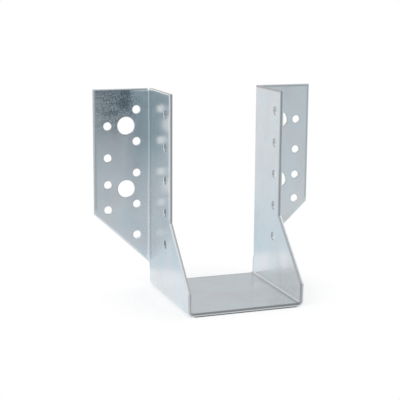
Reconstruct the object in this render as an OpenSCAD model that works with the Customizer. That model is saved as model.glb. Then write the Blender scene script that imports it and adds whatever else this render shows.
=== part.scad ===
// Joist hanger: one strip of steel sheet, folded into a seat, two sides and two flanges.
// X runs across the joist, Y from the seat's front edge back to the header, Z up from
// the underside of the seat. Sizes are in millimetres.

/* [Joist] */
// Width of the timber that fits between the sides
joist_w = 70; // [40:1:140]
// Height of the sides above the top of the seat
side_h = 125; // [100:1:200]

/* [Sheet] */
// Thickness of the steel sheet
sheet_t = 2; // [1.5:0.1:3]
// Inside radius of every bend
bend_r = 1.5; // [1:0.25:3]
// Share of the thickness, from the inside of a bend, where the sheet keeps its length
neutral_share = 0.42; // [0.33:0.01:0.5]

/* [Sides] */
// Depth of the seat, from the header to its front edge
seat_d = 77; // [62:1:110]
// Depth of the sides above the knee in their front edge
side_d = 42; // [28:1:56]
// Height of the knee, where the front edge starts to slope forwards
knee_h = 49; // [30:1:70]
// Height of the toe, where the slope ends and the front edge is upright again
toe_h = 14; // [8:1:25]

/* [Flanges] */
// Width of each flange, from the outer face of its side
flange_w = 36; // [34:1:60]
// Height of the outer corner where the flange's sloping lower edge starts
corner_h = 48.5; // [35:0.5:65]
// Height at which the sloping edge meets the fold
foot_h = 14.7; // [8:0.1:25]

/* [Nail holes] */
// Diameter of the nail holes
nail_d = 5; // [3:0.1:6]
// Distance between nails in a column
nail_pitch = 20; // [16:1:30]
// Distance from the top edge down to the first row of nails
nail_top_gap = 13; // [8:1:20]
// Least height of a row of nails above the underside
nail_low_h = 30; // [20:1:50]
// Distance of the nails in a side behind the front edge above the knee
side_nail_gap = 8.5; // [6:0.5:12]
// Distance of the flange's inner nails from the outer face of the side
inner_nail_gap = 8.4; // [7.5:0.1:10]
// Distance of the flange's outer nails from the flange's outer edge
outer_nail_gap = 8.8; // [6:0.1:10]
// Height of the lowest outer nail above the flange's outer corner
outer_low_rise = 2.5; // [0:0.5:8]
// Distance between the lowest two outer nails
outer_low_step = 16; // [12:0.5:20]

/* [Bolt holes] */
// Diameter of the bolt holes
bolt_d = 11; // [7:0.5:12]
// Distance of the bolt holes from the outer face of the side
bolt_gap = 15.2; // [14.5:0.1:17]
// Nail pitches from one bolt hole to the next
bolt_step = 2; // [2:1:3]

/* [Hidden] */
$fn = 96;

// Least metal that stays between a hole and the sloping edge of the flange
least_edge = 5;
// Least distance between an outer nail on the pitch and the lowest two
least_step = 12;
// How far a cutting tool runs past the sheet on each side
overcut = 1;

// Outside of a bend, and the half of a bend's flat length that lies before its middle
bend_outer_r = bend_r + sheet_t;
half_bend = (bend_r + neutral_share * sheet_t) * PI / 4;

// Across: the outer face of a side and the outer edge of a flange
side_x = joist_w / 2 + sheet_t;
flange_x = side_x + flange_w;

// Front to back: the blank's back edge lies in line with the middle of the flange's fold
front_y = -seat_d / 2;
header_y = seat_d / 2;
fold_y = header_y - bend_outer_r;
edge_y = fold_y + half_bend;
knee_y = header_y - side_d;
side_nail_y = knee_y + side_nail_gap;

// Up: the top edge, the nail rows and the bolt rows midway between nail rows
top_z = sheet_t + side_h;
first_row_z = top_z - nail_top_gap;
nail_rows = [for (z = first_row_z; z >= nail_low_h; z = z - nail_pitch) z];
first_bolt_z = first_row_z - nail_pitch / 2;
bolt_rows = [for (z = first_bolt_z; z >= nail_low_h; z = z - bolt_step * nail_pitch) z];

// The outer column: its lowest two nails follow the corner, the others the pitch
outer_low_z = corner_h + outer_low_rise;
outer_next_z = outer_low_z + outer_low_step;
outer_high = [for (z = first_bolt_z; z >= outer_next_z + least_step; z = z - nail_pitch) z];
outer_rows = concat(outer_high, [outer_next_z, outer_low_z]);

// Height of the flange's sloping edge at a distance out from the side, and its angle
slope_angle = atan2(corner_h - foot_h, flange_w);
function slope_z(out) = foot_h + out * tan(slope_angle);

// Whether a hole keeps enough metal above the sloping edge
function clears_slope(out, z, d) = (z - slope_z(out)) * cos(slope_angle) >= d / 2 + least_edge;

// A channel's outline seen from the front, with rounded lower corners
module rounded_channel(half_w, low_z, r) {
    translate([-half_w, low_z + r]) square([2 * half_w, top_z - low_z - r]);
    translate([r - half_w, low_z]) square([2 * (half_w - r), r]);
    for (side = [-1, 1]) translate([side * (half_w - r), low_z + r]) circle(r);
}

// The sheet of the seat, its two bends and the sides, seen from the front
module channel_section() {
    difference() {
        rounded_channel(side_x, 0, bend_outer_r);
        rounded_channel(side_x - sheet_t, sheet_t, bend_r);
        translate([sheet_t - side_x, top_z - bend_r]) square([joist_w, bend_r + overcut]);
    }
}

// The outline of a side: upright, knee, slope and toe in front, the fold behind
module side_outline() {
    polygon([
        [front_y, 0],
        [edge_y, 0],
        [edge_y, foot_h],
        [fold_y, foot_h],
        [fold_y, top_z],
        [knee_y, top_z],
        [knee_y, knee_h],
        [front_y, toe_h]
    ]);
}

// The seat and the two sides, bent up from one width of the strip
module seat_and_sides() {
    intersection() {
        rotate([90, 0, 0]) linear_extrude(height = seat_d, center = true) channel_section();
        rotate([90, 0, 90]) linear_extrude(height = 2 * side_x, center = true) side_outline();
    }
}

// A flange and its fold, seen from above
module flange_plan() {
    translate([side_x + bend_r, fold_y]) intersection() {
        difference() {
            circle(bend_outer_r);
            circle(bend_r);
        }
        translate([-bend_outer_r, 0]) square(bend_outer_r);
    }
    translate([side_x + bend_r, header_y - sheet_t]) square([flange_w - bend_r, sheet_t]);
}

// The outline of a flange: upright at its outer edge, sloping from its corner to the foot
module flange_outline() {
    polygon([
        [side_x - sheet_t, foot_h],
        [side_x, foot_h],
        [flange_x, corner_h],
        [flange_x, top_z],
        [side_x - sheet_t, top_z]
    ]);
}

// One flange with its fold, on the right
module flange() {
    intersection() {
        linear_extrude(height = top_z) flange_plan();
        rotate([90, 0, 0]) linear_extrude(height = seat_d, center = true) flange_outline();
    }
}

// A punch through a flange, at a distance out from the side and a height
module flange_punch(out, z, d) {
    translate([side_x + out, header_y + overcut, z]) rotate([90, 0, 0])
        cylinder(h = sheet_t + 2 * overcut, d = d);
}

// All the holes in one flange: two columns of nails with the bolts between them
module flange_holes() {
    for (z = nail_rows) {
        if (clears_slope(inner_nail_gap, z, nail_d)) flange_punch(inner_nail_gap, z, nail_d);
    }
    for (z = bolt_rows) {
        if (clears_slope(bolt_gap, z, bolt_d)) flange_punch(bolt_gap, z, bolt_d);
    }
    for (z = outer_rows) flange_punch(flange_w - outer_nail_gap, z, nail_d);
}

// The column of nails through one side, into the joist
module side_holes() {
    for (z = nail_rows) {
        translate([side_x - sheet_t - overcut, side_nail_y, z]) rotate([0, 90, 0])
            cylinder(h = sheet_t + 2 * overcut, d = nail_d);
    }
}

// The whole folded strip
module hanger() {
    color("silver") difference() {
        union() {
            seat_and_sides();
            for (side = [0, 1]) mirror([side, 0, 0]) flange();
        }
        for (side = [0, 1]) mirror([side, 0, 0]) {
            flange_holes();
            side_holes();
        }
    }
}

hanger();
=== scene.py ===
"""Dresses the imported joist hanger: a galvanised strip, folded from its flat blank, on white.

The blank is laid out flat, its holes and rim are given the rolled and broken edges of a
punched sheet, and it is folded by the same rule as the solid. Lengths are in metres.
"""

import math
from typing import NamedTuple

import bmesh
import bpy
from bpy.props import FloatProperty, FloatVectorProperty, IntProperty, PointerProperty
from mathutils import Matrix, Vector
from mathutils.geometry import delaunay_2d_cdt


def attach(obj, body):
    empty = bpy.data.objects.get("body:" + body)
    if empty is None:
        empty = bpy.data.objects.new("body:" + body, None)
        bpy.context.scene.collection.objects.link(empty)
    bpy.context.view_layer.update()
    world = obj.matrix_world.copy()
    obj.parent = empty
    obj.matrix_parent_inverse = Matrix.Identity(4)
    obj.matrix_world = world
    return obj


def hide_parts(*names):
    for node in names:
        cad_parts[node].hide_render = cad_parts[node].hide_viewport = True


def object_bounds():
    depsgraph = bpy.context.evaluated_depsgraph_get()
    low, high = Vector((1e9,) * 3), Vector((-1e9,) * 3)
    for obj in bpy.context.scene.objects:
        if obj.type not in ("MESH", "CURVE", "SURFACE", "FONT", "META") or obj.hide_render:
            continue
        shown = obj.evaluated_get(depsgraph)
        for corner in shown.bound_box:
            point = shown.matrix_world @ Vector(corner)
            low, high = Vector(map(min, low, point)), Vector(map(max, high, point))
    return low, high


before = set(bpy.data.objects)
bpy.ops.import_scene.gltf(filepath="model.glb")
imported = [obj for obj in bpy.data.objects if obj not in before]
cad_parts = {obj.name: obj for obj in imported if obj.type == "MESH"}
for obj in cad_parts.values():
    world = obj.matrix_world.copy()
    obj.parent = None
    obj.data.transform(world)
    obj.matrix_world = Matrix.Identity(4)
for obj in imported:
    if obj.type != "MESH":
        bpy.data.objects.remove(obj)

bl_info = {
    "name": "Joist hanger",
    "version": (1, 0, 0),
    "blender": (4, 5, 0),
    "location": "View3D > Sidebar > Joist hanger",
    "description": "Folds a joist hanger from its flat blank and sets it on a white stage",
    "category": "Object",
}

CAD_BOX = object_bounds()
CAD_SIZE = CAD_BOX[1] - CAD_BOX[0]

# Sizes that the box of the solid gives together with its own width of joist and sheet
JOIST_WIDTH = 0.070
SHEET = 0.002
SIDE_HEIGHT = CAD_SIZE.z - SHEET
SEAT_DEPTH = CAD_SIZE.y
FLANGE_WIDTH = (CAD_SIZE.x - JOIST_WIDTH) / 2 - SHEET

# The flat sheet is triangulated in millimetres, the scale that suits its tolerance
MM = 1000.0
TOLERANCE = 1e-4
INSIDE_FENCES = 1

# Pitches from one bolt hole to the next
BOLT_STEP = 2
# Facets round each rounding of a cut edge, and the angle from which an edge looks sharp
EDGE_STEPS = 4
SHARP_ANGLE = math.radians(38)
TABLE_SEGMENTS = 96

SENSOR_WIDTH = 36.0
NEAR_CLIP = 0.01

WHITE = (1.0, 1.0, 1.0)

# Sockets of a node that mixes two colours
MIX_FACTOR, MIX_FIRST, MIX_SECOND = 0, 6, 7
MIX_RESULT = 2

# The values between which each noise on the sheet comes to show
CLOUD_SHOWS = (0.38, 0.72)
HUE_SHOWS = (0.35, 0.65)
HAIR_SHOWS = (0.54, 0.68)
BLOTCH_SHOWS = (0.30, 0.62)
THICK_BLOTCH_SHOWS = (0.38, 0.68)
SPECK_SHOWS = (0.44, 0.58)
# The stain between its blotches, and how much of it is gone at the flange's outer edge
STAIN_LEAST = 0.75
STAIN_EDGE_LOSS = 0.3
# How many specks there are, and how many of them a thick blotch hides
SPECKS = 1.2
HIDDEN_SPECKS = 0.8
# Heights of the crystals and of the fine grain, where the streaks' is 1
CRYSTAL_RELIEF = 0.25
GRAIN_RELIEF = 0.4
# How much longer than wide a crystal is
CRYSTAL_STRETCH = 1.6

# Where in the thickness the sheared half of a cut and the outer face start
SHEARED_DEPTH = (SHEET * 0.48, SHEET * 0.54)
OUTER_DEPTH = (SHEET * 0.8, SHEET * 0.9)
# A cut that is less bare than this shows no sheared half
BARE_CUT = (0.92, 0.98)

# Soft steps over the sheet, in metres. First those down from the top edge of a side.
STAIN_DOWN = (0.036, 0.012)
FOLD_SHADE_DOWN = (0.085, 0.025)
SHEEN_DOWN = (0.075, 0.040)
# From before to past the middle of the fold
STAIN_AND_SHADE_STARTS = (-0.0004, 0.0008)
# Out along the flange from the end of the fold
FOLD_SHADE_OUT = (0.004, 0.016)
# In from a flange's outer edge
STAIN_IN = (0.009, 0.003)
# Forwards from the start of the fold
SHEEN_FORWARD = (0.034, 0.012)
# From before to past the line where the seat's bends start, and the same where they end, for the
# painted shade inside them
BEND_STARTS = (-0.003, 0.001)
BEND_ENDS = (-0.001, 0.002)
# Up from the knee
KNEE_UP = (0.0, 0.004)


class Card(NamedTuple):
    """An upright studio card: where its foot runs on the plan, how low and high, its colour"""

    name: str
    start: tuple
    end: tuple
    low: float
    high: float
    tint: tuple


class Pattern(NamedTuple):
    """Soft noise: how far it is stretched each way over the sheet, and how it is broken up"""

    along: float
    deep: float
    through: float
    detail: float
    roughness: float


class Cut(NamedTuple):
    """A closed cut through the blank: its run, its rolled rounding and how bare its metal is"""

    loop: list
    roll: float
    drop: float
    margin: float
    bare: float


# Clouds, hues and blotches run through the sheet, and finer marks differ on its two faces
STREAKS = Pattern(1.0, 1.0, 1.0, 3.0, 0.6)
GRAIN = Pattern(1.0, 0.6, 1.0, 2.0, 0.6)
HAIR_LINES = Pattern(0.6, 1.0, 1.0, 2.0, 0.7)
CLOUDS = Pattern(1.5, 1.0, 4.0, 2.0, 0.5)
HUES = Pattern(1.0, 0.6, 4.0, 1.0, 0.5)
BLOTCHES = Pattern(1.0, 1.4, 4.0, 1.0, 0.5)
FINE_SPECKS = Pattern(1.0, 0.8, 1.0, 3.0, 0.7)

# The front and right cards grey the flanges and the flag darkens the top of the left one. The
# side cards grey the left side by way of its flange. The back cards tone the seat and the
# right side, the bend card the bend between them, and the left card the fold.
CARDS = (
    Card("front_card", (-0.10, -1.10), (0.38, -1.10), -0.60, 0.60, (0.68, 0.70, 0.72)),
    Card("right_card", (0.38, -1.10), (1.30, -1.10), -0.14, 0.60, (0.64, 0.67, 0.68)),
    Card("low_right_card", (0.38, -1.10), (1.30, -1.10), -0.70, -0.14, (0.76, 0.78, 0.78)),
    Card("dark_flag", (0.06, -0.98), (0.33, -0.98), -0.065, 0.44, (0.07, 0.11, 0.14)),
    Card("side_card", (-1.15, -1.00), (-0.14, -1.00), -0.10, 0.60, (1.00, 1.00, 1.00)),
    Card("low_side_card", (-1.15, -1.00), (-0.14, -1.00), -0.70, -0.10, (0.84, 0.84, 0.84)),
    Card("seat_card", (-0.05, 1.00), (1.00, 1.00), 0.06, 0.96, (0.67, 0.67, 0.67)),
    Card("bend_card", (-1.15, 0.98), (0.18, 0.98), 0.44, 1.20, (0.60, 0.60, 0.60)),
    Card("back_card", (-1.15, 1.05), (-0.05, 1.05), 0.10, 0.46, (1.00, 0.94, 0.89)),
    Card("mid_back_card", (-1.15, 1.05), (-0.05, 1.05), -0.17, 0.10, (0.88, 0.88, 0.88)),
    Card("low_back_card", (-1.15, 1.05), (-0.05, 1.05), -0.80, -0.17, (0.76, 0.83, 0.87)),
    Card("left_card", (-1.20, -0.95), (-1.20, 0.10), -0.80, 0.60, (0.80, 0.83, 0.84)),
)


def length(name, description, default):
    """A length that a user may change"""
    return FloatProperty(
        name=name, description=description, default=default, min=0.0, precision=5, unit="LENGTH"
    )


def share(name, description, default):
    """A share from none to all"""
    return FloatProperty(
        name=name, description=description, default=default, min=0.0, max=1.0, subtype="FACTOR"
    )


def colour(name, description, default):
    """A plain colour, as the shaders read it"""
    return FloatVectorProperty(
        name=name, description=description, default=default, min=0.0, max=1.0, subtype="COLOR"
    )


def angle(name, description, degrees):
    """An angle, given in degrees and kept in radians"""
    return FloatProperty(
        name=name, description=description, default=math.radians(degrees), subtype="ANGLE"
    )


def place(name, description, default):
    """A point in the part's own frame"""
    return FloatVectorProperty(
        name=name, description=description, default=default, precision=4, subtype="TRANSLATION"
    )


def power(name, description, default):
    """The power of a lamp"""
    return FloatProperty(
        name=name, description=description, default=default, min=0.0, unit="POWER"
    )


class HangerSizes(bpy.types.PropertyGroup):
    """Sizes of the folded strip, those of the solid first"""

    joist_width: length("Joist width", "Width of the timber between the sides", JOIST_WIDTH)
    side_height: length("Side height", "Height of the sides above the seat", SIDE_HEIGHT)
    sheet: length("Sheet", "Thickness of the steel sheet", SHEET)
    bend_radius: length("Bend radius", "Inside radius of every bend", 0.0015)
    neutral_share: share("Neutral share", "Where in a bend the sheet keeps its length", 0.42)
    seat_depth: length("Seat depth", "From the header to the seat's front edge", SEAT_DEPTH)
    side_depth: length("Side depth", "Depth of the sides above the knee", 0.042)
    knee_height: length("Knee height", "Where the front edge starts to slope", 0.049)
    toe_height: length("Toe height", "Where the slope ends near the seat", 0.014)
    flange_width: length("Flange width", "From a side's outer face outwards", FLANGE_WIDTH)
    corner_height: length("Corner height", "Height of the flange's outer corner", 0.0485)
    foot_height: length("Foot height", "Where the flange's slope meets the fold", 0.0147)
    fold_runout: length("Fold runout", "Stretch below the foot where the fold dies away", 0.0045)

    nail_hole: length("Nail hole", "Diameter of the nail holes", 0.005)
    bolt_hole: length("Bolt hole", "Diameter of the bolt holes", 0.011)
    pitch: length("Pitch", "Distance between nails in a column", 0.020)
    rows: IntProperty(name="Rows", description="Nails in an inner column", default=5, min=1)
    bolts: IntProperty(name="Bolts", description="Bolt holes in a flange", default=2, min=0)
    high_outer: IntProperty(
        name="High outer nails", description="Outer nails on the pitch", default=2, min=0
    )
    top_gap: length("Top gap", "From the top edge to the first row of nails", 0.013)
    side_gap: length("Side gap", "From the front edge to the nails in a side", 0.0085)
    inner_gap: length("Inner gap", "From the side to the inner nails of a flange", 0.0084)
    bolt_gap: length("Bolt gap", "From the side to the bolt holes", 0.0152)
    outer_gap: length("Outer gap", "From the flange's edge to its outer nails", 0.0088)
    low_rise: length("Low rise", "From the flange's corner up to its lowest nail", 0.0025)
    low_step: length("Low step", "Between the lowest two outer nails", 0.016)

    rim_roll: length("Rim roll", "How far in the shears drew the rim down", 0.0009)
    rim_drop: length("Rim drop", "How far down the shears drew the rim", 0.00035)
    rim_margin: length("Rim margin", "Strip of facets beside the rim", 0.0019)
    hole_roll: length("Hole roll", "Rounding where the punch drew a hole's edge in", 0.00026)
    hole_margin: length("Hole margin", "Ring of facets round a hole", 0.0005)
    # The less bare a hole, the more painted highlight its wall gets; the left and right sides'
    # holes differ only to paint how differently light falls on them
    left_bare: share("Left bareness", "How bare the holes in the left side are", 0.9)
    right_bare: share("Right bareness", "How bare the holes in the right side are", 0.55)
    flange_bare: share("Flange bareness", "How bare the holes in the flanges are", 0.0)
    edge_break: length("Edge break", "Rounding where the sheet broke off", 0.00009)
    fracture_depth: length("Fracture depth", "How far the broken half stands back", 0.00006)
    facet: length("Facet", "Longest side of a facet on the flat faces", 0.0025)
    bend_steps: IntProperty(name="Bend steps", description="Facets round a bend", default=10)
    hole_steps: IntProperty(name="Hole steps", description="Facets round a nail hole", default=40)


class ZincFinish(bpy.types.PropertyGroup):
    """Finish of the hot-dip galvanised sheet, painted highlights, sheen and shade among its
    colours
    """

    zinc: colour("Zinc", "Clean zinc", (0.69, 0.765, 0.81))
    # Painted sheen: brighter zinc on the left side in front of its fold, standing in for light
    # reflected there
    clean: colour("Rubbed zinc", "Zinc rubbed clean beside one fold", (0.85, 0.89, 0.91))
    warm: colour("Warm zinc", "Clean zinc of a warmer tone", (0.72, 0.75, 0.785))
    dull: colour("Dull zinc", "Zinc under a dull film", (0.61, 0.66, 0.69))
    fracture: colour("Fracture", "Broken half of a cut edge", (0.40, 0.42, 0.435))
    # A darker broken half for the cuts along the seat
    seat_fracture: colour("Handled edge", "Broken half of the seat's cut edge", (0.25, 0.26, 0.27))
    burnish: colour("Burnish", "Sheared half of a cut edge", (0.60, 0.64, 0.66))
    # Painted shade: darker zinc inside the seat's bends, standing in for the shade in their hollow
    painted_shade: colour("Drawn zinc", "Zinc drawn dull within the seat's bends", (0.62, 0.675, 0.71))
    # Painted highlight: near-white zinc along the outer rims of the sides and their holes, and on
    # the walls of the holes, standing in for light that they reflect
    painted_rim_light: colour("Worn zinc", "Zinc rubbed bright along the rims of the sides", (0.93, 0.96, 0.97))
    # Painted shade: darker zinc along the outer rims of the flanges and their holes, standing in
    # for the shade there
    rolled: colour("Rolled zinc", "Zinc drawn dull at the flanges' rims", (0.45, 0.485, 0.505))
    # Dark speckled mottle at the top of the left flange, and painted shade beside its fold, both
    # take this colour
    stain_and_shade: colour("Stain", "Dark film near the top of one flange", (0.17, 0.24, 0.28))
    roughness: share("Roughness", "Roughness of clean zinc", 0.20)
    dull_roughness: share("Dull roughness", "Roughness of dull zinc", 0.36)
    fracture_roughness: share("Fracture roughness", "Roughness of a broken edge", 0.42)
    spangle: length("Spangle", "Width of a zinc crystal", 0.0016)
    streak_width: length("Streak width", "Width of a rolling streak", 0.0009)
    streak_length: length("Streak length", "Length of a rolling streak", 0.030)
    hair: length("Hair line", "Width of a hair line along the strip", 0.0006)
    cloud: length("Cloud", "Size of the duller patches", 0.022)
    speck: length("Speck", "Size of the bright specks in the stain", 0.0012)
    blotch: length("Blotch", "Size of the blotches in the stain", 0.0055)
    relief: length("Relief", "Height of the streaks and crystals", 0.000004)
    relief_share: share("Relief share", "How strongly the relief shows", 0.6)
    cloud_share: share("Cloud share", "How much the patches dull the zinc", 0.45)
    streak_share: share("Streak share", "How much the streaks dull or clear it", 0.4)
    crystal_share: share("Crystal share", "How much the crystals dull or clear it", 0.10)
    hair_share: share("Hair share", "How much hair lines dull the sides' outer face", 0.3)
    hair_least: share("Least hair share", "How much hair lines dull the rest", 0.08)
    stain_share: share("Stain share", "How much of the zinc the stain hides", 0.94)
    # Painted shade beside the fold of the left flange: how dark it is
    fold_shade_share: share("Film share", "How dark the film beside the fold is", 0.85)
    speck_share: share("Speck share", "How much of the stain a speck clears", 0.9)
    # How much of the painted highlight and painted shade lies along an outer rim
    rim_share: share("Rim share", "How much of the zinc is worn along a rim", 0.8)


class StageSettings(bpy.types.PropertyGroup):
    """Floor, cards, lamps and camera"""

    floor_radius: length("Floor radius", "Radius of the round white table", 0.09)
    floor_fade: share("Floor fade", "Share of the radius where white begins", 0.55)
    floor_white: share("Floor white", "Share of the radius where all is white", 0.96)
    floor_drop: length("Floor drop", "Gap that keeps the table clear of the seat", 0.0002)
    floor_colour: colour("Floor colour", "Paper on the table", (0.55, 0.55, 0.55))
    floor_lift: share("Floor lift", "Light added where the table is seen", 0.51)
    foot_half: length("Foot half", "Half the width over which the seat lies flat", 0.0325)
    foot_middle: FloatProperty(
        name="Foot middle",
        description="Middle of what touches the table, from front to back",
        default=-0.0012,
        unit="LENGTH",
    )
    # Painted shadow: the paper in this strip round the seat is left unlifted, so it shows darker
    # there
    contact_shade: length("Contact", "Strip beside the seat that is not lifted", 0.0007)
    room_light: share("Room light", "Light that falls from all round", 0.72)
    key_power: power("Key power", "Power of the large lamp at the left", 3.2)
    key_size: length("Key size", "Width of the large lamp", 1.0)
    key_place: place("Key place", "Place of the large lamp", (-0.70, -0.30, 0.95))
    fill_power: power("Fill power", "Power of the lamp at the right", 1.3)
    fill_size: length("Fill size", "Width of the lamp at the right", 0.6)
    fill_place: place("Fill place", "Place of the lamp at the right", (0.80, 0.20, 0.80))
    lens: FloatProperty(
        name="Lens", description="Focal length in millimetres", default=96.98, min=1.0
    )
    camera: place("Camera", "Place of the camera", (-0.2362, -0.6070, 0.1910))
    camera_turn: angle("Camera turn", "Turn to the right of straight ahead", 19.932)
    camera_dip: angle("Camera dip", "Tilt below level", 11.339)
    camera_roll: angle("Camera roll", "Roll about the line of sight", 0.353)


class Socket:
    """An output of a node. Each operator used on it adds the Math node that it stands for."""

    def __init__(self, shader, output):
        self.shader = shader
        self.output = output

    def math(self, operation, *operands):
        return self.shader.node(
            "ShaderNodeMath", {"operation": operation}, dict(enumerate(operands))
        )

    def __add__(self, other):
        return self.math("ADD", self, other)

    def __radd__(self, other):
        return self.math("ADD", other, self)

    def __sub__(self, other):
        return self.math("SUBTRACT", self, other)

    def __rsub__(self, other):
        return self.math("SUBTRACT", other, self)

    def __mul__(self, other):
        return self.math("MULTIPLY", self, other)

    def __rmul__(self, other):
        return self.math("MULTIPLY", other, self)

    def beside(self, output):
        """Another output of the same node"""
        return Socket(self.shader, self.output.node.outputs[output])

    def larger(self, other):
        return self.math("MAXIMUM", self, other)

    def smaller(self, other):
        return self.math("MINIMUM", self, other)

    def rise(self, low, high):
        """0 up to low, 1 from high on, and a soft step between them"""
        return self.shader.node(
            "ShaderNodeMapRange",
            {"interpolation_type": "SMOOTHSTEP"},
            {"Value": self, "From Min": low, "From Max": high, "To Min": 0.0, "To Max": 1.0},
        )

    def fall(self, low, high):
        """1 up to low, 0 from high on"""
        return 1.0 - self.rise(low, high)


class Shader:
    """A node tree that is being written"""

    def __init__(self, tree):
        self.tree = tree
        tree.nodes.clear()

    def node(self, kind, settings=None, sockets=None, output=0):
        """Adds a node: its settings first, then the values or links of its sockets"""
        made = self.tree.nodes.new(kind)
        for name, value in (settings or {}).items():
            setattr(made, name, value)
        for name, value in (sockets or {}).items():
            if isinstance(value, Socket):
                self.tree.links.new(value.output, made.inputs[name])
            else:
                made.inputs[name].default_value = value
        return Socket(self, made.outputs[output])

    def mix(self, factor, first, second):
        """Colour that goes from first to second"""
        sockets = {MIX_FACTOR: factor, MIX_FIRST: rgba(first), MIX_SECOND: rgba(second)}
        return self.node("ShaderNodeMix", {"data_type": "RGBA"}, sockets, MIX_RESULT)

    def vector(self, operation, *operands, output=0):
        """A Vector Math node"""
        sockets = dict(enumerate(operands))
        return self.node("ShaderNodeVectorMath", {"operation": operation}, sockets, output)

    def stretch(self, vector, sizes):
        """Vector measured in steps of the given sizes"""
        return self.vector("DIVIDE", vector, Vector(sizes))

    def noise(self, vector, sizes, detail, roughness):
        """Soft noise whose features have the given sizes, from about 0 to 1"""
        sockets = {
            "Vector": self.stretch(vector, sizes),
            "Scale": 1.0,
            "Detail": detail,
            "Roughness": roughness,
        }
        return self.node("ShaderNodeTexNoise", None, sockets)

    def finish(self, surface, target="ShaderNodeOutputMaterial"):
        """Links what the tree makes to its output"""
        end = self.tree.nodes.new(target)
        self.tree.links.new(surface.output, end.inputs["Surface"])


def rgba(value):
    """A colour with its alpha, or a link as it is"""
    return value if isinstance(value, Socket) else (*value, 1.0)


class FoldedStrip:
    """Where each point of the flat sheet lies once the strip is folded.

    A flat point has three measures. along runs over the strip from the middle of the seat
    to the top of either side. deep runs from the seat's front edge back, round the fold
    and out along a flange. thick runs from the joist's face of the sheet to its outer face.
    """

    def __init__(self, sizes):
        self.sheet = sizes.sheet
        self.radius = sizes.bend_radius
        self.neutral = sizes.neutral_share * sizes.sheet
        self.arc = (self.radius + self.neutral) * math.pi / 2
        self.front = -sizes.seat_depth / 2
        self.header = sizes.seat_depth / 2
        self.seat_half = sizes.joist_width / 2 - self.radius
        self.side_start = self.seat_half + self.arc
        self.fold_start = self.header - self.radius - self.sheet
        self.fold_end = self.fold_start + self.arc
        self.fold_middle = self.fold_start + self.arc / 2
        self.top = self.at_height(sizes.sheet + sizes.side_height)
        self.edge = self.at_reach(sizes.flange_width)
        self.foot = self.at_height(sizes.foot_height)
        self.knee = self.at_height(sizes.knee_height)
        self.runout = sizes.fold_runout

    def at_height(self, height):
        """Measure along the strip at a height on a side"""
        return self.side_start + height - self.sheet - self.radius

    def at_reach(self, out):
        """Measure deep of a point on a flange, at a distance out from the side"""
        return self.fold_end + out - self.radius

    def fold_share(self, along):
        """How much of the flange's fold there is: all from the foot up, none on the seat"""
        step = (along - self.foot + self.runout) / self.runout
        step = min(max(step, 0.0), 1.0)
        return step * step * (3 - 2 * step)  # a soft step

    def channel(self, along, lift):
        """Across and up on the channel, lift away from the joist's face of the sheet"""
        if along <= self.seat_half:
            return along, self.sheet - lift
        if along <= self.side_start:
            turn = (along - self.seat_half) / self.arc * math.pi / 2
            reach = self.radius + lift
            return (
                self.seat_half + reach * math.sin(turn),
                self.radius + self.sheet - reach * math.cos(turn),
            )
        up = self.radius + self.sheet + along - self.side_start
        return self.seat_half + self.radius + lift, up

    def place(self, along, deep, thick):
        """The point in the part's frame"""
        size = abs(along)
        back, lift = deep, thick
        bent = self.fold_share(size)
        if deep > self.fold_start and bent > 0:
            round_part = min(deep, self.fold_end) - self.fold_start
            straight = max(deep - self.fold_end, 0.0)
            middle = (self.radius + self.neutral) / bent
            turn = round_part / middle
            reach = middle + self.sheet - self.neutral - thick
            lift = self.sheet - self.neutral + middle - reach * math.cos(turn)
            lift += straight * math.sin(turn)
            back = self.fold_start + reach * math.sin(turn) + straight * math.cos(turn)
        across, up = self.channel(size, lift)
        return Vector((math.copysign(across, along), back, up))


def even_steps(low, high, longest):
    """Values from low to high in even steps, none over longest"""
    count = max(1, math.ceil((high - low) / longest - TOLERANCE))
    return [low + (high - low) * step / count for step in range(count + 1)]


def filled(keys, longest):
    """The keys in order with even steps between them, none over longest"""
    keys = sorted(keys)
    return sorted({mark for pair in zip(keys, keys[1:]) for mark in even_steps(*pair, longest)})


def bend_lines(strip, sizes):
    """Lines along and deep on which each bend is faceted, and one just outside it"""
    step = strip.arc / sizes.bend_steps
    marks = [-step, *(step * mark for mark in range(sizes.bend_steps + 1)), strip.arc + step]
    seat = [strip.seat_half + mark for mark in marks]
    fold = [strip.fold_start + mark for mark in marks]
    return sorted([-line for line in seat] + seat), fold


def blank_corners(strip, sizes):
    """Corners of the flat blank, the metal on the left as they run"""
    knee = strip.header - sizes.side_depth
    right = [
        (strip.at_height(sizes.toe_height), strip.front),
        (strip.at_height(sizes.knee_height), knee),
        (strip.top, knee),
        (strip.top, strip.edge),
        (strip.at_height(sizes.corner_height), strip.edge),
        (strip.foot, strip.fold_middle),
    ]
    left = [(-along, deep) for along, deep in reversed(right)]
    return [Vector(corner) for corner in right + left]


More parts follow.
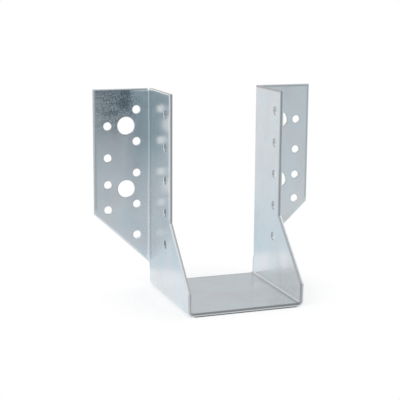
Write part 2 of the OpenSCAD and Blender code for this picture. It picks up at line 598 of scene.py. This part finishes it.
def hole_places(strip, sizes):
    """Each hole's middle on the flat blank, its diameter and how bare it is"""
    first = strip.at_height(sizes.sheet + sizes.side_height - sizes.top_gap)
    rows = [first - row * sizes.pitch for row in range(sizes.rows)]
    bolts = [first - (BOLT_STEP * row + 0.5) * sizes.pitch for row in range(sizes.bolts)]
    lowest = strip.at_height(sizes.corner_height + sizes.low_rise)
    outer = [first - (row + 0.5) * sizes.pitch for row in range(sizes.high_outer)]
    outer += [lowest + sizes.low_step, lowest]
    side = strip.header - sizes.side_depth + sizes.side_gap
    outer_deep = strip.at_reach(sizes.flange_width - sizes.outer_gap)
    in_sides = (sizes.left_bare, sizes.right_bare)
    in_flanges = (sizes.flange_bare, sizes.flange_bare)
    columns = [
        (rows, side, sizes.nail_hole, in_sides),
        (rows, strip.at_reach(sizes.inner_gap), sizes.nail_hole, in_flanges),
        (bolts, strip.at_reach(sizes.bolt_gap), sizes.bolt_hole, in_flanges),
        (outer, outer_deep, sizes.nail_hole, in_flanges),
    ]
    return [
        (Vector((hand * along, deep)), width, bare)
        for alongs, deep, width, bares in columns
        for along in alongs
        for hand, bare in zip((-1, 1), bares)
    ]


def cut_line(start, end, lines, longest):
    """Points from start up to end, one on each line of a bend that the edge crosses"""
    run = end - start
    marks = {0.0, 1.0}
    for axis in (0, 1):
        if abs(run[axis]) > TOLERANCE / MM:
            crossed = [(line - start[axis]) / run[axis] for line in lines[axis]]
            marks.update(mark for mark in crossed if 0 < mark < 1)
    marks = sorted(marks)
    points = []
    for low, high in zip(marks, marks[1:]):
        if high - low > TOLERANCE:
            fine = even_steps(low, high, longest / run.length)
            points += [start + run * mark for mark in fine[:-1]]
    return points


def outline_loop(corners, lines, longest):
    """The blank's outline as a closed run of points"""
    ends = corners[1:] + corners[:1]
    return [point for pair in zip(corners, ends) for point in cut_line(*pair, lines, longest)]


def hole_loop(middle, radius, count):
    """A hole's rim as a closed run of points, the metal on the left"""
    turns = [-math.tau * step / count for step in range(count)]
    return [middle + radius * Vector((math.cos(turn), math.sin(turn))) for turn in turns]


def inset(loop, distance):
    """The loop moved into the metal, with mitred corners"""
    moved = []
    for before, here, after in zip(loop[-1:] + loop[:-1], loop, loop[1:] + loop[:1]):
        arriving = (here - before).normalized().orthogonal()
        leaving = (after - here).normalized().orthogonal()
        moved.append(here + (arriving + leaving) * distance / (1 + arriving.dot(leaving)))
    return moved


def edge_section(sizes, cut):
    """A cut's section from the joist's face to the outer one: how far in, how deep, how bare"""
    turns = [math.pi / 2 * step / EDGE_STEPS for step in range(EDGE_STEPS + 1)]
    bare_until = math.pi / 4
    middle = sizes.sheet * 0.5
    inner = [
        (
            sizes.fracture_depth + sizes.edge_break * (1 - math.sin(turn)),
            sizes.edge_break * (1 - math.cos(turn)),
            cut.bare,
        )
        for turn in turns
    ]
    outer = [
        (
            cut.roll * (1 - math.cos(turn)),
            sizes.sheet - cut.drop * (1 - math.sin(turn)),
            cut.bare * max(1 - turn / bare_until, 0.0),
        )
        for turn in turns
    ]
    halfway = [
        (sizes.fracture_depth, middle, cut.bare),
        (0.0, middle + sizes.fracture_depth, cut.bare),
    ]
    return inner + halfway + outer


def gap_to_outline(point, corners):
    """Distance from a point inside the outline to its edge, or a negative one outside"""
    inside = False
    nearest = math.inf
    for start, end in zip(corners, corners[1:] + corners[:1]):
        run = end - start
        mark = min(max((point - start).dot(run) / run.length_squared, 0.0), 1.0)
        nearest = min(nearest, (start + run * mark - point).length)
        if (start.y > point.y) != (end.y > point.y):
            crossing = start.x + (point.y - start.y) / run.y * run.x
            inside ^= point.x < crossing
    return nearest if inside else -nearest


def lattice(strip, sizes, corners, holes, lines):
    """Points spread over the metal, in line with the bends, clear of every cut edge"""
    seat_lines, fold_lines = lines
    alongs = filled([-strip.top, *seat_lines, strip.top], sizes.facet)
    deeps = filled([strip.front, *fold_lines, strip.edge], sizes.facet)
    clear = sizes.facet * 0.5
    points = []
    for along in alongs:
        for deep in deeps:
            point = Vector((along, deep))
            if gap_to_outline(point, corners) < clear + sizes.rim_margin:
                continue
            if all((point - middle).length > width / 2 + 2 * clear for middle, width, _ in holes):
                points.append(point)
    return points


def sheet_mesh(strip, sizes):
    """The whole folded sheet as one closed mesh that keeps its flat measures"""
    corners = blank_corners(strip, sizes)
    holes = hole_places(strip, sizes)
    lines = bend_lines(strip, sizes)
    rim = outline_loop(corners, lines, sizes.facet)
    cuts = [Cut(rim, sizes.rim_roll, sizes.rim_drop, sizes.rim_margin, 1.0)]
    collars = []
    for middle, width, bare in holes:
        count = round(sizes.hole_steps * math.sqrt(width / sizes.nail_hole))
        loop = hole_loop(middle, width / 2, count)
        roll = sizes.hole_roll
        cuts.append(Cut(loop, roll, roll, sizes.hole_margin, bare))
        collars += hole_loop(middle, width / 2 + sizes.facet * 0.5, count)
    skin, fences, rings = [], [], []
    for cut in cuts:
        ring = range(len(skin), len(skin) + len(cut.loop))
        skin += inset(cut.loop, cut.margin)
        fences += list(zip(ring, [*ring[1:], ring[0]]))
        rings.append(ring)
    skin += collars + lattice(strip, sizes, corners, holes, lines)
    flat, _, triangles, _, _, _ = delaunay_2d_cdt(
        [point * MM for point in skin], fences, [], INSIDE_FENCES, TOLERANCE
    )
    if len(flat) != len(skin):
        raise RuntimeError("two points of the flat blank fell together")

    mesh = bmesh.new()
    measures = mesh.verts.layers.float_vector.new("sheet")
    cut_mask = mesh.verts.layers.float.new("cut_edge")
    # 1 on the rounded bands of every cut, where the painted highlight and painted shade of the
    # rims are laid
    edge_band_mask = mesh.verts.layers.float.new("edge_band")

    def vertex(point, thick, bare, edge_band):
        made = mesh.verts.new(strip.place(point.x, point.y, thick))
        made[measures] = Vector((point.x, point.y, thick))
        made[cut_mask] = bare
        made[edge_band_mask] = edge_band
        return made

    faces = [[vertex(point, thick, 0.0, 0.0) for point in skin] for thick in (0.0, strip.sheet)]
    margin = sizes.hole_margin
    for triangle in triangles:
        centre = sum((skin[corner] for corner in triangle), Vector((0, 0))) / 3
        if any((centre - middle).length < width / 2 + margin for middle, width, _ in holes):
            continue
        for face in faces:
            mesh.faces.new([face[corner] for corner in triangle])
    for cut, ring in zip(cuts, rings):
        rows = [[faces[0][corner] for corner in ring]]
        for distance, thick, bare in edge_section(sizes, cut):
            run = inset(cut.loop, distance)
            rows.append([vertex(point, thick, bare, 1.0) for point in run])
        rows.append([faces[1][corner] for corner in ring])
        for lower, upper in zip(rows, rows[1:]):
            for step in range(len(ring)):
                after = (step + 1) % len(ring)
                mesh.faces.new([lower[step], lower[after], upper[after], upper[step]])
    if not all(edge.is_manifold for edge in mesh.edges):
        raise RuntimeError("the folded sheet isn't closed")
    bmesh.ops.recalc_face_normals(mesh, faces=mesh.faces)
    made = bpy.data.meshes.new("folded_sheet")
    mesh.to_mesh(made)
    mesh.free()
    made.shade_smooth()
    made.set_sharp_from_angle(angle=SHARP_ANGLE)
    return made


class Galvanising:
    """Writes the finish of the sheet from the flat measures that its mesh keeps"""

    def __init__(self, tree, finish, strip):
        self.shader = Shader(tree)
        self.finish = finish
        self.strip = strip
        self.sheet = self.measure("sheet", "Vector")
        self.cut = self.measure("cut_edge", "Fac")
        self.edge_band = self.measure("edge_band", "Fac")
        self.along = self.shader.node("ShaderNodeSeparateXYZ", None, {0: self.sheet}, "X")
        self.deep = self.along.beside("Y")
        self.thick = self.along.beside("Z")
        self.up_left = -1.0 * self.along
        self.spread = self.along * self.along
        self.outer_face = self.thick.rise(0.0, SHEET)

    def measure(self, name, output):
        """A measure that the mesh keeps at each of its points"""
        settings = {"attribute_name": name, "attribute_type": "GEOMETRY"}
        return self.shader.node("ShaderNodeAttribute", settings, None, output)

    def noise(self, pattern, along, deep):
        """Soft noise with features of about these sizes on the sheet"""
        sizes = (along * pattern.along, deep * pattern.deep, SHEET * pattern.through)
        return self.shader.noise(self.sheet, sizes, pattern.detail, pattern.roughness)

    def crystals(self):
        """A different value from 0 to 1 on each zinc crystal"""
        width = self.finish.spangle
        cells = {
            "Vector": self.shader.stretch(self.sheet, (width * CRYSTAL_STRETCH, width, SHEET)),
            "Scale": 1.0,
        }
        colours = self.shader.node("ShaderNodeTexVoronoi", {"feature": "F1"}, cells, "Color")
        return self.shader.node("ShaderNodeSeparateColor", None, {0: colours})

    def upper_left(self, down):
        """1 on the upper part of the left side and flange, by two distances from the top"""
        start, end = down
        return self.up_left.rise(self.strip.top - start, self.strip.top - end)

    def beyond(self, measure, steps):
        """1 past a measure along the strip, on both hands, with a soft start"""
        start, end = steps
        return self.spread.rise((measure + start) ** 2, (measure + end) ** 2)

    def dullness(self, streak, crystal):
        """How dull the zinc is, from 0 where it is clean to 1"""
        finish, strip = self.finish, self.strip
        cloud = self.noise(CLOUDS, finish.cloud, finish.cloud)
        hair = self.noise(HAIR_LINES, finish.streak_length, finish.hair)
        dullness = cloud.rise(*CLOUD_SHOWS) * finish.cloud_share
        dullness = dullness + (streak - 0.5) * finish.streak_share
        dullness = dullness + (crystal - 0.5) * finish.crystal_share
        lined = self.outer_face * self.deep.fall(strip.fold_start, strip.fold_end)
        lined = lined * finish.hair_share + finish.hair_least
        dullness = dullness + hair.rise(*HAIR_SHOWS) * lined
        return dullness.larger(0.0).smaller(1.0)

    def stain_and_shade(self):
        """How dark the front of the left flange is: a speckled dark mottle near its top, and
        painted shade beside the fold
        """
        finish, strip = self.finish, self.strip
        start, end = STAIN_AND_SHADE_STARTS
        front = self.deep.rise(strip.fold_middle + start, strip.fold_middle + end)
        front = front * self.outer_face * (1.0 - self.edge_band)
        blotch = self.noise(BLOTCHES, finish.blotch, finish.blotch)
        fine = self.noise(FINE_SPECKS, finish.speck, finish.speck)
        stained = blotch.rise(*BLOTCH_SHOWS) * (1.0 - STAIN_LEAST) + STAIN_LEAST
        stained = self.upper_left(STAIN_DOWN) * stained
        start, end = STAIN_IN
        at_edge = self.deep.rise(strip.edge - start, strip.edge - end)
        stained = stained * (1.0 - at_edge * STAIN_EDGE_LOSS)
        open_share = (SPECKS - blotch.rise(*THICK_BLOTCH_SHOWS) * HIDDEN_SPECKS).smaller(1.0)
        specks = fine.rise(*SPECK_SHOWS) * open_share
        # Painted shade on the flange beside its fold, near the top
        start, end = FOLD_SHADE_OUT
        film = self.upper_left(FOLD_SHADE_DOWN)
        film = film * self.deep.fall(strip.fold_end + start, strip.fold_end + end)
        film = film * finish.fold_shade_share
        return front * (stained * (1.0 - specks * finish.speck_share)).larger(film)

    def seat_crease_shade(self):
        """1 within the seat's bends, on the joist's face of the sheet, where painted shade darkens
        their hollow
        """
        start = self.beyond(self.strip.seat_half, BEND_STARTS)
        end = self.beyond(self.strip.side_start, BEND_ENDS)
        return start * (1.0 - end) * (1.0 - self.outer_face)

    def painted_sheen_strip(self):
        """1 on the strip of the left side in front of its fold, where a painted sheen stands in
        for light reflected there
        """
        fold = self.strip.fold_start
        start, end = SHEEN_FORWARD
        clean = self.upper_left(SHEEN_DOWN) * self.outer_face
        clean = clean * self.deep.rise(fold - start, fold - end)
        return clean * self.deep.fall(fold, self.strip.fold_middle)

    def face_colour(self, dullness):
        """Colour of the sheet's faces and of the rims beside its cuts, with painted sheen,
        highlights and shade laid on them
        """
        mix, finish, strip = self.shader.mix, self.finish, self.strip
        hue = self.noise(HUES, finish.cloud, finish.cloud)
        face = mix(hue.rise(*HUE_SHOWS), finish.zinc, finish.warm)
        face = mix(dullness, face, finish.dull)
        # Painted shade inside the seat's bends
        face = mix(self.seat_crease_shade(), face, finish.painted_shade)
        # Painted sheen on the left side in front of its fold
        face = mix(self.painted_sheen_strip(), face, finish.clean)
        # Speckled dark mottle at the top of the left flange, and painted shade beside its fold
        face = mix(self.stain_and_shade() * finish.stain_share, face, finish.stain_and_shade)
        # Rim colour: painted highlight on the sides, painted shade on the flanges
        rim = mix(self.deep.rise(strip.fold_middle, strip.fold_end), finish.painted_rim_light, finish.rolled)
        outer = self.thick.rise(*OUTER_DEPTH)
        # Laid on the outer rims of the cuts above the knee
        painted_rim_light = self.edge_band * outer * self.beyond(strip.knee, KNEE_UP) * finish.rim_share
        face = mix(painted_rim_light, face, rim)
        # Painted highlight on the walls of the holes, less the barer a hole is
        return mix(self.edge_band * (1.0 - outer) * (1.0 - self.cut), face, finish.painted_rim_light)

    def edge_colour(self, broken):
        """Colour of a cut's two halves, the broken one darker along the seat"""
        mix, finish, strip = self.shader.mix, self.finish, self.strip
        side = self.spread.rise(strip.seat_half**2, strip.side_start**2)
        edge = mix(1.0 - side, finish.fracture, finish.seat_fracture)
        return mix(broken, finish.burnish, edge)

    def surface(self):
        """Metal whose colour, roughness and relief vary over the sheet"""
        finish, cut = self.finish, self.cut
        crystal = self.crystals()
        streak = self.noise(STREAKS, finish.streak_length, finish.streak_width)
        grain = self.noise(GRAIN, finish.spangle, finish.spangle)
        dullness = self.dullness(streak, crystal)
        broken = self.thick.fall(*SHEARED_DEPTH).larger(cut.fall(*BARE_CUT))
        base = self.shader.mix(cut, self.face_colour(dullness), self.edge_colour(broken))

        face_rough = finish.roughness + dullness * (finish.dull_roughness - finish.roughness)
        rougher = finish.fracture_roughness - finish.dull_roughness
        edge_rough = finish.dull_roughness + broken * rougher
        rough = face_rough + cut * (edge_rough - face_rough)

        relief = {
            "Strength": finish.relief_share,
            "Distance": finish.relief,
            "Height": (streak + crystal * CRYSTAL_RELIEF + grain * GRAIN_RELIEF) * (1.0 - cut),
        }
        bump = self.shader.node("ShaderNodeBump", None, relief)
        sockets = {"Base Color": base, "Metallic": 1.0, "Roughness": rough, "Normal": bump}
        return self.shader.node("ShaderNodeBsdfPrincipled", None, sockets)


def zinc_material(finish, strip):
    """Galvanised sheet: zinc crystals, rolling streaks, dull clouds, bare cut edges, and painted
    highlights, sheen and shade
    """
    made = bpy.data.materials.new("galvanised sheet")
    made.use_nodes = True
    galvanising = Galvanising(made.node_tree, finish, strip)
    galvanising.shader.finish(galvanising.surface())
    return made


def add_object(context, name, data):
    """A new object in the scene"""
    made = bpy.data.objects.new(name, data)
    context.scene.collection.objects.link(made)
    return made


def background_ray(shader):
    """1 where the camera, a mirror or clear glass looks straight at a thing, else 0"""
    camera = shader.node("ShaderNodeLightPath", output="Is Camera Ray")
    mirror = camera.beside("Is Glossy Ray")
    glass = camera.beside("Is Transmission Ray")
    return camera.larger(mirror).larger(glass)


def floor_material(stage):
    """White paper: left unlifted in a narrow strip round the seat, which paints a shadow there,
    and lifted to white where it is looked at
    """
    made = bpy.data.materials.new("white paper")
    made.use_nodes = True
    shader = Shader(made.node_tree)
    paper = shader.node(
        "ShaderNodeBsdfDiffuse", None, {"Color": rgba(stage.floor_colour), "Roughness": 0.0}
    )
    glow = shader.node(
        "ShaderNodeEmission", None, {"Color": rgba(WHITE), "Strength": stage.floor_lift}
    )
    lifted = shader.node("ShaderNodeAddShader", None, {0: paper, 1: glow})
    white = shader.node("ShaderNodeEmission", None, {"Color": rgba(WHITE), "Strength": 1.0})
    spot = shader.node("ShaderNodeNewGeometry", output="Position")
    middle = Vector((0.0, stage.foot_middle, 0.0))
    foot = Vector((stage.foot_half, SEAT_DEPTH / 2 + stage.foot_middle, SHEET))
    beyond = shader.vector("ABSOLUTE", shader.vector("SUBTRACT", spot, middle))
    beyond = shader.vector("SUBTRACT", beyond, foot)
    beyond = shader.vector("MAXIMUM", beyond, Vector((0.0, 0.0, 0.0)))
    # The lift fades out towards the seat, painting a shadow round it
    clear = shader.vector("LENGTH", beyond, output="Value").rise(0.0, stage.contact_shade)
    rim = shader.vector("LENGTH", spot, output="Value")
    radius = stage.floor_radius
    rim = rim.rise(radius * stage.floor_fade, radius * stage.floor_white)
    seen = shader.node("ShaderNodeMixShader", None, {0: clear, 1: paper, 2: lifted})
    seen = shader.node("ShaderNodeMixShader", None, {0: rim, 1: seen, 2: white})
    shader.finish(
        shader.node("ShaderNodeMixShader", None, {0: background_ray(shader), 1: paper, 2: seen})
    )
    return made


def card_material(card):
    """A studio card of one even colour"""
    made = bpy.data.materials.new(card.name)
    made.use_nodes = True
    shader = Shader(made.node_tree)
    shader.finish(
        shader.node("ShaderNodeEmission", None, {"Color": rgba(card.tint), "Strength": 1.0})
    )
    return made


def add_floor(context, stage):
    """The round table that the hanger stands on"""
    mesh = bmesh.new()
    radius = stage.floor_radius
    bmesh.ops.create_circle(mesh, cap_ends=True, segments=TABLE_SEGMENTS, radius=radius)
    data = bpy.data.meshes.new("table")
    mesh.to_mesh(data)
    mesh.free()
    data.materials.append(floor_material(stage))
    floor = add_object(context, "table", data)
    floor.location.z = CAD_BOX[0].z - stage.floor_drop


def add_card(context, card):
    """An upright card that only shows in the metal"""
    corners = [
        (*card.start, card.low),
        (*card.end, card.low),
        (*card.end, card.high),
        (*card.start, card.high),
    ]
    data = bpy.data.meshes.new(card.name)
    data.from_pydata(corners, [], [(0, 1, 2, 3)])
    data.materials.append(card_material(card))
    made = add_object(context, card.name, data)
    made.visible_camera = False
    made.visible_diffuse = False
    made.visible_transmission = False
    made.visible_shadow = False


def add_lamp(context, name, spot, size, watts):
    """A soft square lamp that points at the middle of the hanger"""
    data = bpy.data.lights.new(name, "AREA")
    data.shape = "SQUARE"
    data.size = size
    data.energy = watts
    lamp = add_object(context, name, data)
    lamp.location = spot
    aim = Vector((0.0, 0.0, CAD_SIZE.z / 2)) - lamp.location
    lamp.rotation_euler = aim.to_track_quat("-Z", "Y").to_euler()


def white_world(context, stage):
    """A world that is white to look at and lights the scene more gently"""
    world = bpy.data.worlds.new("white room")
    world.use_nodes = True
    context.scene.world = world
    shader = Shader(world.node_tree)
    light = shader.node(
        "ShaderNodeBackground", None, {"Color": rgba(WHITE), "Strength": stage.room_light}
    )
    seen = shader.node("ShaderNodeBackground", None, {"Color": rgba(WHITE), "Strength": 1.0})
    shader.finish(
        shader.node("ShaderNodeMixShader", None, {0: background_ray(shader), 1: light, 2: seen}),
        "ShaderNodeOutputWorld",
    )


def add_camera(context, stage):
    """The camera where the photograph's stood"""
    data = bpy.data.cameras.new("camera")
    data.lens = stage.lens
    data.sensor_width = SENSOR_WIDTH
    data.clip_start = NEAR_CLIP
    camera = add_object(context, "camera", data)
    turn = Matrix.Rotation(-stage.camera_turn, 4, "Z")
    dip = Matrix.Rotation(math.pi / 2 - stage.camera_dip, 4, "X")
    roll = Matrix.Rotation(stage.camera_roll, 4, "Z")
    camera.matrix_world = Matrix.Translation(stage.camera) @ turn @ dip @ roll
    context.scene.camera = camera


class HANGER_OT_fold_sheet(bpy.types.Operator):
    """Lay out the blank, punch it, fold it and give it its galvanised finish"""

    bl_idname = "joist_hanger.fold_sheet"
    bl_label = "Fold the sheet"
    bl_options = {"REGISTER", "UNDO"}

    def execute(self, context):
        sizes = context.scene.hanger_sizes
        strip = FoldedStrip(sizes)
        piece = add_object(context, "folded_hanger", sheet_mesh(strip, sizes))
        piece.data.materials.append(zinc_material(context.scene.zinc_finish, strip))
        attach(piece, "root")
        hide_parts("hanger")
        return {"FINISHED"}


class HANGER_OT_set_stage(bpy.types.Operator):
    """Set the table, the cards, the lamps, the white room and the camera"""

    bl_idname = "joist_hanger.set_stage"
    bl_label = "Set the stage"
    bl_options = {"REGISTER", "UNDO"}

    def execute(self, context):
        stage = context.scene.hanger_stage
        add_floor(context, stage)
        for card in CARDS:
            add_card(context, card)
        add_lamp(context, "key_lamp", stage.key_place, stage.key_size, stage.key_power)
        add_lamp(context, "fill_lamp", stage.fill_place, stage.fill_size, stage.fill_power)
        white_world(context, stage)
        add_camera(context, stage)
        context.scene.view_settings.view_transform = "Standard"
        return {"FINISHED"}


class HANGER_PT_panel(bpy.types.Panel):
    """Lists the steps and the sizes that can be changed"""

    bl_idname = "HANGER_PT_panel"
    bl_label = "Joist hanger"
    bl_space_type = "VIEW_3D"
    bl_region_type = "UI"
    bl_category = "Joist hanger"

    def draw(self, context):
        layout = self.layout
        for group in ("hanger_sizes", "zinc_finish", "hanger_stage"):
            values = getattr(context.scene, group)
            box = layout.box()
            for name in values.bl_rna.properties.keys():
                if name not in ("rna_type", "name"):
                    box.prop(values, name)
        layout.operator(HANGER_OT_fold_sheet.bl_idname)
        layout.operator(HANGER_OT_set_stage.bl_idname)


CLASSES = (
    HangerSizes,
    ZincFinish,
    StageSettings,
    HANGER_OT_fold_sheet,
    HANGER_OT_set_stage,
    HANGER_PT_panel,
)


def register():
    for cls in CLASSES:
        bpy.utils.register_class(cls)
    bpy.types.Scene.hanger_sizes = PointerProperty(type=HangerSizes)
    bpy.types.Scene.zinc_finish = PointerProperty(type=ZincFinish)
    bpy.types.Scene.hanger_stage = PointerProperty(type=StageSettings)


def unregister():
    del bpy.types.Scene.hanger_stage
    del bpy.types.Scene.zinc_finish
    del bpy.types.Scene.hanger_sizes
    for cls in reversed(CLASSES):
        bpy.utils.unregister_class(cls)


def main():
    """Builds the piece and its stage"""
    register()
    bpy.ops.joist_hanger.fold_sheet()
    bpy.ops.joist_hanger.set_stage()


if __name__ == "__main__":
    main()
